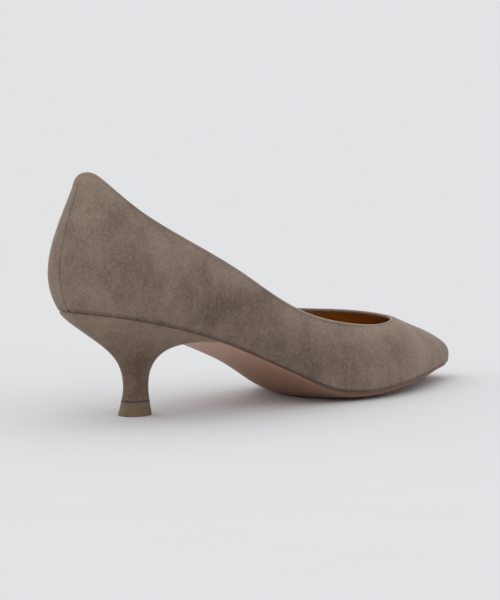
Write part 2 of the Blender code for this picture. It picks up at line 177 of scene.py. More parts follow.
def ring_places(points):
    """Places of ring rows along their own curve, closer where the rows are close."""
    lengths = np.linalg.norm(np.diff(points, axis=0), axis=1)
    return np.concatenate([[0.0], np.cumsum(np.sqrt(lengths))])


def along(places, turns):
    """Places on a curve at counts of section rows, whole numbers being the rows themselves."""
    return np.interp(turns, np.arange(len(places)), places)


def section_rows(at, outer, inner, up_out=None, up_in=None):
    """Points of one column set of the section table, for the outer and the inner side."""
    x = np.array([getattr(section, at) for section in SECTIONS]) * LENGTH / 100
    sides = []
    for reach, up, sign in ((outer, up_out, -1), (inner, up_in, 1)):
        y = np.array([getattr(section, reach) for section in SECTIONS]) * sign * BALL_WIDTH / 100
        z = [getattr(section, up) * BACK_HEIGHT / 100 for section in SECTIONS] if up else bottom(x, y)
        sides.append(np.column_stack([x, y, z]))
    return sides


def feather_line(turns):
    """Plan line where the upper turns under, from the back seam round by the outer side."""
    points = np.array(around(*section_rows("foot_at", "foot_out", "foot_in")))[:, :2]
    places = ring_places(points)
    return spline(places, points, along(places, turns), closed=True)


def outward(ring):
    """Unit direction out of a closed plan line at each of its points."""
    run = np.roll(ring, -1, axis=0) - np.roll(ring, 1, axis=0)
    normal = unit(np.column_stack([run[:, 1], -run[:, 0]]))
    return normal if normal[0, 0] < 0 else -normal


def top_line(turns):
    """Top end of every wall column: the opening's edge, then the ridge of the toe."""
    outer, inner = section_rows("top_at", "top_out", "top_in", "up_out", "up_in")
    edge = np.array(around(outer[:THROAT_ROW + 1], inner[:THROAT_ROW + 1]))
    edge_places = ring_places(edge)
    ridge_places = ring_places(inner[THROAT_ROW:])
    skipped = RING_ROWS - 2 * THROAT_ROW
    edge_turns = np.where(turns > TOE_ROW, turns - skipped, turns)
    opening = spline(edge_places, edge, along(edge_places, edge_turns), closed=True)
    ridge_turns = np.minimum(turns, RING_ROWS - turns) - THROAT_ROW
    crest = spline(ridge_places, inner[THROAT_ROW:], along(ridge_places, ridge_turns))
    return np.where((ridge_turns > 0)[:, None], crest, opening)


def wall_columns(turns):
    """Four control points of each wall column, from the feather line to the top."""
    foot = np.array(around(*section_rows("foot_at", "foot_out", "foot_in")))
    top_out, top_in = section_rows("top_at", "top_out", "top_in", "up_out", "up_in")
    top = np.array(around(top_out, top_in))
    fall = np.gradient(top_in[:, 2], top_in[:, 0])
    fall[:THROAT_ROW] = 0
    fall = np.array(around(fall, fall))
    settings = [(s.base_lean, s.base_pull, s.top_lean, s.top_pull) for s in SECTIONS]
    base_lean, base_pull, top_lean, top_pull = np.array(around(settings, settings)).T[:, :, None]
    base_lean = np.radians(base_lean)
    top_lean = np.radians(top_lean)
    fine = 16
    out = outward(feather_line(np.arange(RING_ROWS * fine) / fine))[::fine]
    out = np.vstack([out, out[:1]])
    rise = np.hstack([out * np.sin(base_lean), np.cos(base_lean)])
    run = out * np.sin(top_lean)
    drop = unit(np.hstack([run, fall[:, None] * run[:, :1] - np.cos(top_lean)]))
    places = ring_places(foot[:, :2])
    samples = along(places, turns)
    plan = feather_line(turns)
    return (np.column_stack([plan, bottom(*plan.T)]),
            spline(places, foot + rise * base_pull, samples, closed=True),
            spline(places, top + drop * top_pull, samples, closed=True),
            top_line(turns))


def bezier(controls, shares):
    """Points of curved columns at shares of their run: one row of points for each share."""
    share = np.asarray(shares, float)[:, None, None]
    order = len(controls) - 1
    return sum(math.comb(order, i) * (1 - share) ** (order - i) * share ** i * control
               for i, control in enumerate(controls))


def skin_normals(rows):
    """Unit directions out of a closed run of columns."""
    sideways = np.roll(rows, -1, axis=1) - np.roll(rows, 1, axis=1)
    upward = np.gradient(rows, axis=0)
    return unit(np.cross(sideways, upward))


Hem = namedtuple("Hem", "columns edge out up")


def hem_frame(turns, rows, normals):
    """The opening's edge as a closed loop: its columns, points, and directions out and up."""
    inner_half = np.flatnonzero(turns >= RING_ROWS - THROAT_ROW)
    outer_half = np.flatnonzero(turns < THROAT_ROW)
    columns = np.concatenate([inner_half, outer_half])
    edge = rows[-1, columns]
    out = normals[-1, columns]
    run = np.roll(edge, -1, axis=0) - np.roll(edge, 1, axis=0)
    out = unit(out - unit(run) * (out * unit(run)).sum(axis=1, keepdims=True))
    up = unit(np.cross(out, run))
    up *= np.sign(np.median(up[:, 2]))
    return Hem(columns, edge, out, up)


def hem_rows(hem, angles):
    """Round of the folded edge, from the outer face at 0 degrees to the inner face at 180."""
    centre = hem.edge - (hem.out + hem.up) * HEM_ROUND
    turn = np.radians(angles)[:, None, None]
    return centre + HEM_ROUND * (hem.out * np.cos(turn) + hem.up * np.sin(turn))


def lower_for_hem(turns, rows, shares, hem):
    """Wall rows drawn down under the hem, so that its round ends at the true top line."""
    throat = hem.up[0]
    ridge = np.minimum(turns, RING_ROWS - turns) - THROAT_ROW
    distance = np.linalg.norm(rows[-1] - hem.edge[0], axis=1)
    drawn = np.where((ridge >= 0)[:, None], throat * np.exp(-distance / HEM_FADE)[:, None], 0.0)
    drawn[hem.columns] = hem.up
    amount = ease((shares - HEM_BLEND) / (1 - HEM_BLEND))[:, None, None]
    return rows - drawn * HEM_ROUND * amount


def edge_distance(points, loop):
    """Distance of points from a closed line."""
    nearest = np.full(points.shape[:-1], np.inf)
    for start, end in zip(loop, np.roll(loop, -1, axis=0)):
        run = end - start
        share = np.clip(((points - start) @ run) / (run @ run), 0, 1)
        gap = points - start - share[..., None] * run
        nearest = np.minimum(nearest, (gap ** 2).sum(axis=-1))
    return np.sqrt(nearest)


def strip(first, second, closed):
    """Quads between two rows of point numbers of the same length."""
    count = len(first)
    last = count if closed else count - 1
    return [(first[i], first[(i + 1) % count], second[(i + 1) % count], second[i]) for i in range(last)]


def stack(rows, closed=True, start=0):
    """Points and quads of a run of rows, with the numbers of each row."""
    points = [point for row in rows for point in row]
    width = len(rows[0])
    numbers = [list(range(start + i * width, start + (i + 1) * width)) for i in range(len(rows))]
    faces = [face for a, b in zip(numbers, numbers[1:]) for face in strip(a, b, closed)]
    return points, faces, numbers


def make_piece(name, points, faces, finish, node=None, weld=0.01, sharp=None, marks=None):
    """Mesh in the shoe's frame, riding on the shoe; marks are values carried by its points."""
    mesh = bpy.data.meshes.new(name)
    mesh.from_pydata((np.array(points) + stand_at) * MM, [], [tuple(dict.fromkeys(face)) for face in faces])
    for mark, values in (marks or {}).items():
        mesh.attributes.new(mark, "FLOAT", "POINT").data.foreach_set("value", np.asarray(values, float))
    shape = bmesh.new()
    shape.from_mesh(mesh)
    bmesh.ops.remove_doubles(shape, verts=shape.verts[:], dist=weld * MM)
    shape.to_mesh(mesh)
    shape.free()
    mesh.shade_smooth()
    if sharp:
        mesh.set_sharp_from_angle(angle=math.radians(sharp))
    mesh.materials.append(finish)
    piece = bpy.data.objects.new(name, mesh)
    bpy.context.scene.collection.objects.link(piece)
    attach(piece, "root")
    if node:
        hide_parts(node)
    return piece


def thicken(piece, thickness):
    """Gives a sheet its thickness, away from the side that shows."""
    wall = piece.modifiers.new("thickness", "SOLIDIFY")
    wall.thickness = thickness * MM
    wall.offset = -1


class Wire:
    """One output of a shader node; sums on it add Math nodes to its tree."""

    def __init__(self, finish, socket):
        self.finish = finish
        self.socket = socket

    def math(self, operation, *values):
        return self.finish.node("ShaderNodeMath", {"operation": operation}, dict(enumerate(values)))

    def __add__(self, other):
        return self.math("ADD", self, other)

    def __sub__(self, other):
        return self.math("SUBTRACT", self, other)

    def __rsub__(self, other):
        return self.math("SUBTRACT", other, self)

    def __mul__(self, other):
        return self.math("MULTIPLY", self, other)

    __radd__ = __add__
    __rmul__ = __mul__

    def clamp(self):
        return self.finish.node("ShaderNodeClamp", {}, {"Value": self})


class Finish:
    """A material under way: each of its nodes is added by the one method node."""

    def __init__(self, name, **constants):
        self.material = bpy.data.materials.new(name)
        self.material.use_nodes = True
        self.tree = self.material.node_tree
        self.shader = self.tree.nodes["Principled BSDF"]
        for socket, value in constants.items():
            self.shader.inputs[socket.replace("_", " ").title().replace("Ior", "IOR")].default_value = value

    def node(self, kind, settings, sockets, out=0):
        """Adds a node, sets it, fills or links its sockets and gives one of its outputs."""
        made = self.tree.nodes.new(kind)
        for key, value in settings.items():
            setattr(made, key, value)
        self.fill(made, sockets)
        return Wire(self, made.outputs[out])

    def fill(self, made, sockets):
        """Sets or links sockets of a node."""
        for key, value in sockets.items():
            if isinstance(value, Wire):
                self.tree.links.new(value.socket, made.inputs[key])
            else:
                made.inputs[key].default_value = value

    def mark(self, name):
        """A value carried by the mesh's points."""
        return self.node("ShaderNodeAttribute", {"attribute_name": name}, {}, out="Fac")

    def place(self, stretch=(1, 1, 1)):
        """Places on the piece in metres, stretched along the shoe's axes."""
        spot = self.node("ShaderNodeTexCoord", {}, {}, out="Object")
        return self.node("ShaderNodeVectorMath", {"operation": "MULTIPLY"}, {0: spot, 1: stretch})

    def cloud(self, size, detail=3.0, rough=0.5, stretch=(1, 1, 1)):
        """Soft noise round 0 whose blotches are about size millimetres."""
        sockets = {"Vector": self.place(stretch), "Scale": 1 / (size * MM), "Detail": detail,
                   "Roughness": rough}
        return self.node("ShaderNodeTexNoise", {}, sockets) - 0.5

    def blend(self, share, first, second):
        """Colour between two colours by a share from 0 to 1."""
        colours = {0: share, 6: first if isinstance(first, Wire) else (*first, 1),
                   7: second if isinstance(second, Wire) else (*second, 1)}
        return self.node("ShaderNodeMix", {"data_type": "RGBA"}, colours, out=2)

    def relief(self, height, distance, strength=1.0):
        """Fine relief of a height from 0 to 1 that stands distance millimetres proud."""
        return self.node("ShaderNodeBump", {}, {"Strength": strength, "Distance": distance * MM,
                                                "Height": height})

    def done(self, **sockets):
        """Links the sums to the shader and gives the material."""
        self.fill(self.shader, {key.replace("_", " ").title(): value for key, value in sockets.items()})
        return self.material


NAP_DARK = (0.108, 0.076, 0.058)
NAP_LIGHT = (0.330, 0.253, 0.201)
PALE_HIGHLIGHT = (0.480, 0.390, 0.290)


def suede(name, dark, light):
    """Suede: brushed patches, mottled nap, a velvet sheen, painted light and shade, and pale painted
    highlights on its edges.
    """
    finish = Finish(name, sheen_weight=0.26, sheen_roughness=0.42, sheen_tint=(0.95, 0.80, 0.68, 1),
                    specular_ior_level=0.15)
    patches = finish.cloud(24, detail=4, rough=0.55)
    brushed = finish.cloud(6, detail=4, rough=0.6, stretch=(1, 1, 0.75))
    nap = finish.cloud(1.2, detail=3, rough=0.65)
    hair = finish.cloud(0.45, detail=2, rough=0.6)
    tone = 0.5 + patches + brushed * 0.6 + nap * 0.9 + hair * 0.7 + finish.mark("shade")
    # The shade mark carries the nap's own tone with painted light and shade; the rim mark blends in a pale
    # painted highlight.
    colour = finish.blend(finish.mark("rim"), finish.blend(tone.clamp(), dark, light), PALE_HIGHLIGHT)
    height = 0.5 + nap * 0.6 + hair * 0.7 + brushed * 0.3
    rough = (0.93 + nap * 0.1).clamp()
    relief = finish.relief(height, distance=0.22, strength=0.7)
    return finish.done(base_color=colour, roughness=rough, normal=relief)


upper_suede = suede("upper suede", NAP_DARK, NAP_LIGHT)

# The shoe is drawn from the back of the last, and the middle of its heel tip stands this far forward
TIP_FOOT_AT = 40.0
tip_at, tip_side, _ = np.mean(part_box("heel_tip"), axis=0) / MM
stand_at = np.array([tip_at - TIP_FOOT_AT, tip_side, 0.0])

seam_side = np.linspace(RING_ROWS - 1, RING_ROWS, SEAM_COLUMNS, endpoint=False)
other_rows = np.arange((RING_ROWS - 1) * COLUMNS) / COLUMNS
turns = np.concatenate([other_rows, seam_side])
low_shares = np.linspace(0, TOP_SHARE, WALL_ROWS, endpoint=False)
shares = np.concatenate([low_shares, np.linspace(TOP_SHARE, 1, TOP_ROWS)])
plain_wall = bezier(wall_columns(turns), shares)
wall_out = skin_normals(plain_wall)
hem = hem_frame(turns, plain_wall, wall_out)
plain_wall = lower_for_hem(turns, plain_wall, shares, hem)
from_edge = edge_distance(plain_wall, hem.edge)

# Soft hollows that the leather keeps from lasting and from the hand: side of the foot (outer is
# -1), place along, height, half length, half width, lean in degrees and depth
HOLLOW_FADE = 4.0
Hollow = namedtuple("Hollow", "side at up long wide lean deep")
HOLLOWS = [
    Hollow(-1, 72, 48, 24, 9, -38, 0.35),
    Hollow(-1, 18, 84, 12, 8, 60, 0.20),
    Hollow(-1, 152, 25, 15, 4, -30, 0.22),
    Hollow(-1, 120, 31, 18, 6, -25, 0.18),
    Hollow(1, 84, 46, 22, 9, -38, 0.35),
    Hollow(1, 160, 26, 15, 4, -20, 0.20),
]
fold = np.exp(-((from_edge - FOLD_AT) / FOLD_WIDTH) ** 2) * FOLD_DEPTH
hollows = np.zeros_like(fold)
for spot in HOLLOWS:
    lean = math.radians(spot.lean)
    off_at = plain_wall[:, :, 0] - spot.at
    off_up = plain_wall[:, :, 2] - spot.up
    along_it = (off_at * math.cos(lean) + off_up * math.sin(lean)) / spot.long
    across_it = (off_up * math.cos(lean) - off_at * math.sin(lean)) / spot.wide
    on_side = ease(plain_wall[:, :, 1] * spot.side / HOLLOW_FADE)
    hollows += spot.deep * np.exp(-along_it ** 2 - across_it ** 2) * on_side

# Back seam: the two quarters are sewn face to face and opened out, which leaves a narrow
# furrow between two low pillows. It runs from under the tab down to the seat.
SEAM_FOOT = 1.2
SEAM_TOP = 5.2
SEAM_FURROW = 0.45
SEAM_DEPTH = 0.55
SEAM_PILLOW = 1.6
SEAM_SWELL = 0.12
SEAM_FADE = 2.0
SEAM_WITHIN = 25.0
TAB_DROP = 6.5

seat_up = plain_wall[0, 0, 2]
top_up = hem.edge[:, 2].max()


def seam_side_at(height):
    """How far the seam stands to the inner side at a height."""
    return SEAM_FOOT + (SEAM_TOP - SEAM_FOOT) * np.clip((height - seat_up) / (top_up - seat_up), 0, 1)


from_seam = plain_wall[:, :, 1] - seam_side_at(plain_wall[:, :, 2])
at_back = plain_wall[:, :, 0] < SEAM_WITHIN
below_tab = ease((top_up - TAB_DROP - plain_wall[:, :, 2]) / SEAM_FADE + 0.5)
furrow = np.exp(-(from_seam / SEAM_FURROW) ** 2) * SEAM_DEPTH
swell = np.exp(-((np.abs(from_seam) - SEAM_PILLOW) / SEAM_PILLOW) ** 2) * SEAM_SWELL
wall = plain_wall + wall_out * ((swell - furrow) * below_tab * at_back - fold - hollows)[:, :, None]

# The margin that is turned in below, and the round of the feather edge up to the first clear row
feather = wall[0]
wall_up = unit(wall[1] - wall[0])
plan_in = np.column_stack([-outward(feather[:, :2]), np.zeros(len(turns))])
rounds = np.radians(np.linspace(90, 0, FEATHER_ROWS, endpoint=False))
under = [feather + plan_in * LASTING_MARGIN]
for angle in rounds:
    under.append(feather + plan_in * FEATHER_ROUND * (1 - math.cos(angle))
                 + wall_up * FEATHER_ROUND * (1 - math.sin(angle)))
under = np.array(under)
under[0, :, 2] = bottom(under[0, :, 0], under[0, :, 1])
first_clear = int(np.ceil(FEATHER_ROUND / np.linalg.norm(wall[1] - wall[0], axis=1).min()))
shell = np.vstack([under, wall[first_clear:]])
hem_round = hem_rows(hem, np.linspace(0, 180, HEM_ROWS + 1)[1:])
hem_round = np.vstack([hem_round, hem_round[-1] - hem.up * np.array(HEM_INSIDE)[:, None, None]])
points, faces, numbers = stack(shell)
hem_points, hem_faces, hem_numbers = stack(hem_round, start=len(points))
top_numbers = [numbers[-1][i] for i in hem.columns]
faces += strip(top_numbers, hem_numbers[0], closed=True) + hem_faces

# Lighter and darker places on the nap: along the foot, up, reach along and up, shade. Most are nap brushed
# the other way; the dark place below the back of the topline is painted shade in its hollow, and the light
# places at the back and on the top of the toe are painted highlights
INNER_CALM = 0.6
INNER_RUN = 6.0
ToneSpot = namedtuple("ToneSpot", "at up along high shade")
TONE_AND_LIGHT_SPOTS = [
    # Painted shade in the hollow below the back of the topline
    ToneSpot(20, 89, 9, 7, -0.22),
    ToneSpot(15, 64, 13, 10, -0.16),
    ToneSpot(30, 76, 9, 8, 0.12),
    ToneSpot(46, 70, 12, 7, 0.10),
    ToneSpot(71, 48, 20, 9, -0.24),
    ToneSpot(80, 38, 12, 7, -0.10),
    ToneSpot(102, 23, 12, 8, -0.16),
    ToneSpot(128, 20, 14, 8, -0.22),
    ToneSpot(150, 22, 18, 7, -0.10),
    # Painted highlights at the back: this row and the next two
    ToneSpot(3, 84, 8, 10, 0.12),
    ToneSpot(11, 95, 7, 8, 0.08),
    ToneSpot(0, 54, 7, 8, 0.12),
    # Painted highlight on the top of the toe
    ToneSpot(215, 26, 20, 8, 0.10),
]


def spot_tone_and_painted_light(points):
    """Sum of the brushed places at points of the wall, painted light and shade among them."""
    at, side, up = np.asarray(points).T
    strength = 1 - INNER_CALM * ease(side / INNER_RUN)
    return strength * sum(
        place.shade * np.exp(-((at - place.at) / place.along) ** 2 - ((up - place.up) / place.high) ** 2)
        for place in TONE_AND_LIGHT_SPOTS)


# Painted light and shade on the suede: painted shade in a dark line along the sole, a painted highlight in a
# lighter band below the hem, and on the hem painted shade in its pressed fold line and a pale painted
# highlight on its brow, which are plainer from the waist to the toe
FOOT_SHADE_REACH = 0.5
FOOT_SHADE = 0.9
EDGE_HIGHLIGHT = 0.22
EDGE_HIGHLIGHT_RUN = 9.0
FOLD_SHADE = 0.30
FOLD_BACK = 0.25
HIGHLIGHT_REACH = 0.6
HIGHLIGHT_BACK = 0.08
HIGHLIGHT_FRONT = 0.63
PLAINER_FROM = 60.0
PLAINER_TO = 130.0


def rim_share(points, loop, reach):
    """How near points are to a closed line: 1 on it, fading over reach millimetres."""
    return np.exp(-(edge_distance(np.asarray(points), loop) / reach) ** 2)


def nap_tone_and_highlight(points):
    """Shade of the nap: the brushed places, some of them painted light and shade, and a painted highlight in
    a lighter band below the hem.
    """
    return spot_tone_and_painted_light(points) + EDGE_HIGHLIGHT * rim_share(points, hem.edge, EDGE_HIGHLIGHT_RUN)


points = np.array(points + hem_points)
at_front = ease((points[:, 0] - PLAINER_FROM) / (PLAINER_TO - PLAINER_FROM))
# Painted shade in the hem's pressed fold line
fold_shade = np.exp(-((edge_distance(points, hem.edge) - FOLD_AT) / FOLD_WIDTH) ** 2)
fold_shade *= FOLD_BACK + (1 - FOLD_BACK) * at_front
# Painted shade along the sole, where the upper meets it
foot_shade = rim_share(points, feather, FOOT_SHADE_REACH)
# Pale painted highlight on the hem's brow
hem_highlight = rim_share(points, hem.edge, HIGHLIGHT_REACH) * (HIGHLIGHT_BACK + (HIGHLIGHT_FRONT - HIGHLIGHT_BACK) * at_front)
marks = {"shade": nap_tone_and_highlight(points) - FOOT_SHADE * foot_shade - FOLD_SHADE * fold_shade, "rim": hem_highlight}
upper = make_piece("suede_upper", points, faces, upper_suede, node="upper", marks=marks)
thicken(upper, SUEDE_THICKNESS)

# Stitches of the back seam: taupe thread that holds the two quarters together, sewn before the
# seam is opened out. It lies sunk in the furrow and just shows as short beads.
STITCH_PITCH = 1.5
STITCH_LONG = 0.95
STITCH_THICK = 0.34
STITCH_SUNK = 0.04
STITCH_AHEAD = 0.5
STITCH_SIDES = 6
STITCH_RINGS = (-1.0, -0.7, 0.0, 0.7, 1.0)
STITCH_END = 0.02
THREAD_DARK = (0.055, 0.042, 0.033)
THREAD_LIGHT = (0.120, 0.094, 0.075)

thread = Finish("seam thread", specular_ior_level=0.3)
twist = thread.cloud(0.15, detail=1)
thread_taupe = thread.done(base_color=thread.blend((0.5 + twist).clamp(), THREAD_DARK, THREAD_LIGHT),
                           roughness=(0.7 + twist * 0.2).clamp())


def bead(middle, run, out, long, thick):
    """Small rounded bead of thread."""
    turn = np.arange(STITCH_SIDES) * 2 * np.pi / STITCH_SIDES
    ring = np.outer(np.cos(turn), np.cross(run, out)) + np.outer(np.sin(turn), out)
    widths = [thick / 2 * math.sqrt(max(1 - share ** 2, STITCH_END)) for share in STITCH_RINGS]
    return [middle + run * share * long / 2 + width * ring for share, width in zip(STITCH_RINGS, widths)]


def between(place, places, rows):
    """Point or direction at a place on a run of rows."""
    return np.array([np.interp(place, places, rows[:, axis]) for axis in range(3)])


seam_columns = np.argmin(np.where(at_back, np.abs(from_seam), np.inf), axis=1)
seam_line = wall[np.arange(len(wall)), seam_columns]
seam_line[:, 1] = seam_side_at(seam_line[:, 2])
seam_out = wall_out[np.arange(len(wall)), seam_columns]
seam_run = np.concatenate([[0], np.cumsum(np.linalg.norm(np.diff(seam_line, axis=0), axis=1))])
stitch_points = []
stitch_faces = []
for place in np.arange(STITCH_PITCH, seam_run[-1] - TAB_DROP - STITCH_PITCH, STITCH_PITCH):
    middle = between(place, seam_run, seam_line)
    run = unit(between(place + STITCH_AHEAD, seam_run, seam_line) - middle)
    out = unit(between(place, seam_run, seam_out))
    rows = bead(middle - out * STITCH_SUNK, run, out, STITCH_LONG, STITCH_THICK)
    bead_points, bead_faces, bead_numbers = stack(rows, start=len(stitch_points))
    stitch_points += bead_points
    stitch_faces += bead_faces + [tuple(bead_numbers[0][::-1]), tuple(bead_numbers[-1])]
make_piece("back_stitches", stitch_points, stitch_faces, thread_taupe, weld=0.001)

# Lining: smooth caramel leather glued inside the upper. The hem of the suede is folded over
# its top edge, so a narrow suede band shows above it all round the opening.
LINING_THICKNESS = 0.5
LINING_INSIDE = 1.45
LINING_FROM = 0.03
LINING_ROWS = 40
CARAMEL_DARK = (0.270, 0.108, 0.014)
CARAMEL_LIGHT = (0.520, 0.242, 0.045)
GRAIN_SIZE = 0.9
GRAIN_STEEP = 4.0

caramel = Finish("caramel lining", specular_ior_level=0.4)
grain = caramel.node("ShaderNodeTexVoronoi", {"feature": "DISTANCE_TO_EDGE"},
                     {"Vector": caramel.place(), "Scale": 1 / (GRAIN_SIZE * MM)})
creases = (grain * GRAIN_STEEP).clamp()
mottle = caramel.cloud(9, detail=4)
caramel_leather = caramel.done(
    base_color=caramel.blend((0.5 + mottle * 0.9 + creases * 0.15).clamp(), CARAMEL_DARK, CARAMEL_LIGHT),
    roughness=(0.46 + mottle * 0.2 - creases * 0.05).clamp(),
    normal=caramel.relief(creases, distance=0.05, strength=0.5))

lining_turns = np.arange(RING_ROWS * COLUMNS) / COLUMNS
lining_shares = np.linspace(LINING_FROM, 1, LINING_ROWS)
inside = bezier(wall_columns(lining_turns), lining_shares)
inside_out = skin_normals(inside)
inside = lower_for_hem(lining_turns, inside, lining_shares, hem_frame(lining_turns, inside, inside_out))
points, faces, numbers = stack((inside - inside_out * LINING_INSIDE)[::-1])
lining = make_piece("lining", points, faces, caramel_leather)
thicken(lining, LINING_THICKNESS)

# Insole: the board that the upper is lasted to, covered with a caramel leather sock. It
# is glued on the turned-in margin, and its edge is pressed down against the lining.
INSOLE_THICKNESS = 2.0
SOCK_EDGE_UP = 2.7
SOCK_WIDE = 0.4
SOCK_NARROW = 3.4
TOE_NARROWS_AT = 180.0
INSOLE_STATIONS = 90
INSOLE_GAP = 0.3
STRIPS = 28
NO_WIDTH = 0.3
EDGE_PRESS = 1.2
EDGE_PRESS_RUN = 0.09
FINE_RING = 24


def offset_up(x, y, height):
    """Height of a surface that follows the last's bottom at a distance square to it."""
    step = 0.5
    slope = (bottom(x + step, y) - bottom(x - step, y)) / (2 * step)
    return bottom(x, y) + height * np.hypot(1, slope)


def inset_line(inset):
    """Feather line moved in by a distance, in plan, finely cut."""
    ring = feather_line(np.arange(RING_ROWS * FINE_RING) / FINE_RING)
    return ring - outward(ring) * inset


def side_lines(x, inset):
    """Outer and inner side of the feather line, moved in by inset, at places along the foot."""
    ring = inset_line(inset)
    tip = len(ring) // 2
    outer = ring[:tip + 1]
    inner = np.vstack([ring[:1], ring[:tip - 1:-1]])
    return np.interp(x, outer[:, 0], outer[:, 1]), np.interp(x, inner[:, 0], inner[:, 1])


def line_ends(inset):
    """Place along the foot of the back and the toe tip of the feather line moved in by inset."""
    ring = inset_line(inset)
    return ring[0, 0], ring[len(ring) // 2, 0]


def across(x, outer, inner, height):
    """Row of points from the outer to the inner side; a row without width is one point."""
    share = np.linspace(-1, 1, STRIPS + 1)
    y = (outer + inner) / 2 + share * (inner - outer) / 2
    share = share if inner - outer > NO_WIDTH else np.ones_like(share)
    return np.column_stack([np.full_like(y, x), y, height(np.full_like(y, x), y, share)])


def border(grid):
    """Numbers of the points round the edge of a grid."""
    far_side = [row[-1] for row in grid[1:-1]]
    near_side = [row[0] for row in grid[-2:0:-1]]
    return grid[0] + far_side + grid[-1][::-1] + near_side


def plate(layers):
    """Closed plate from grids one below the other: the first and last whole, the rest rims only."""
    points = []
    faces = []
    rims = []
    for i, rows in enumerate(layers):
        layer_points, layer_faces, numbers = stack(rows, closed=False, start=len(points))
        points += layer_points
        if i == 0:
            faces += layer_faces
        if i == len(layers) - 1:
            faces += [face[::-1] for face in layer_faces]
        rims.append(border(numbers))
    for above, below in zip(rims, rims[1:]):
        faces += [face[::-1] for face in strip(above, below, closed=True)]
    used = sorted({i for face in faces for i in face})
    renumber = {old: new for new, old in enumerate(used)}
    return [points[i] for i in used], [tuple(renumber[i] for i in face) for face in faces]


def insole_top(x, y, share):
    """Upper side of the insole, pressed down along its edge."""
    pressed = ease((np.abs(share) - 1 + EDGE_PRESS_RUN) / EDGE_PRESS_RUN)
    return offset_up(x, y, WALL + INSOLE_GAP + INSOLE_THICKNESS - EDGE_PRESS * pressed ** 2)


def insole_foot(x, y, share):
    """Lower side of the insole."""
    return offset_up(x, y, WALL + INSOLE_GAP)


def sock_inset(x):
    """How far inside the feather line the sock meets the lining, where the wall leans out above it."""
    lean = np.radians([section.base_lean for section in SECTIONS])
    gaps = (LINING_INSIDE + LINING_THICKNESS) / np.cos(lean) - SOCK_EDGE_UP * np.tan(lean)
    places = [section.foot_at * LENGTH / 100 for section in SECTIONS]
    return np.maximum(np.interp(x, places, gaps), SOCK_WIDE)


back = line_ends(sock_inset(0))[0]
tip = line_ends(SOCK_NARROW)[1]
x = back + (tip - back) * (1 - np.cos(np.linspace(0, np.pi, INSOLE_STATIONS))) / 2
toe = ease((x - TOE_NARROWS_AT) / (tip - TOE_NARROWS_AT))
inset = sock_inset(x) + (SOCK_NARROW - sock_inset(x)) * toe
wide = np.array(side_lines(x, SOCK_WIDE))
narrow = np.array(side_lines(x, SOCK_NARROW))
outer, inner = wide + (narrow - wide) * (inset - SOCK_WIDE) / (SOCK_NARROW - SOCK_WIDE)
stations = list(zip(x, outer, inner))
points, faces = plate([[across(*row, insole_top) for row in stations],
                       [across(*row, insole_foot) for row in stations]])
make_piece("sock_and_board", points, faces, caramel_leather, node="insole", sharp=50)

# Outsole: thin pink leather, cut to the feather line and cemented on, its edge rounded
# off below. It is thin and narrow at the waist and ends in a hollow under the heel breast.
SEAT_GAP = 0.05
SOLE_INSET = 0.9
SOLE_EDGE = 2.2
SOLE_CROWN = 2.8
SOLE_EDGE_ROUND = 0.9
CROWN_WIDTH = 60.0
WAIST_EDGE = 0.6
WAIST_CROWN = 0.8
WAIST_AT = 98.0
TREAD_AT = 130.0
TREAD_SOFT = 0.25
TOE_EDGE = 0.9
TOE_AT = 185.0
BREAST_AT = 60.0
WING_AT = 68.0
SOLE_STATIONS = 84
WING_STATIONS = 14
SOLE_RIM = [(0.0, 0.0), (0.0, 0.5), (0.12, 0.72), (0.42, 0.90), (1.0, 1.0)]
SOLE_DARK = (0.420, 0.218, 0.136)
SOLE_LIGHT = (0.590, 0.345, 0.232)
# Painted shade on the underside, darker towards the ball where the sole comes down to the floor
SOLE_SHADE_BROWN = (0.218, 0.110, 0.070)
# Painted shade on the sole's edge under the upper, strongest at the ball and fading at the toe
SOLE_EDGE_SHADE = (0.150, 0.088, 0.062)
BALL_SHADE_SHARE = 0.75
EDGE_SHADE_FADE = 0.7

sole = Finish("sole leather", specular_ior_level=0.45)
fibre = sole.cloud(1.6, detail=4, rough=0.6, stretch=(0.4, 1, 1))
blotch = sole.cloud(22, detail=3)
pores = sole.cloud(0.35, detail=2)
tread_mark = sole.mark("tread")
sole_tone = (0.5 + fibre * 0.5 + blotch * 0.5 + pores * 0.3).clamp()
sole_pink = sole.blend(sole_tone, SOLE_DARK, SOLE_LIGHT)
sole_with_shade = sole.blend(tread_mark * BALL_SHADE_SHARE, sole_pink, SOLE_SHADE_BROWN)
sole_leather = sole.done(
    base_color=sole.blend(sole.mark("edge"), sole_with_shade, SOLE_EDGE_SHADE),
    roughness=(0.42 + fibre * 0.25 + tread_mark * 0.2).clamp(),
    normal=sole.relief(0.5 + fibre * 0.6 + pores * 0.5, distance=0.06, strength=0.6))


def breast_line(stations):
    """Hollow front edge of the heel: place and share of the width, from its middle to a wing tip."""
    share = np.linspace(0, 1, stations + 1)
    return BREAST_AT + (WING_AT - BREAST_AT) * share ** 2, share


def sole_stations(inset):
    """Places and sides of the outsole, from the middle of the breast to the toe tip."""
    breast, share = breast_line(WING_STATIONS)
    toe_tip = line_ends(inset)[1]
    run = np.sin(np.linspace(0, np.pi / 2, SOLE_STATIONS))[1:]
    x = np.concatenate([breast, WING_AT + (toe_tip - WING_AT) * run])
    outer, inner = side_lines(x, inset)
    narrowing = np.concatenate([share, np.ones(len(run))])
    clearance = SEAT_GAP * (x <= WING_AT)
    return zip(x + clearance, outer * narrowing, inner * narrowing)


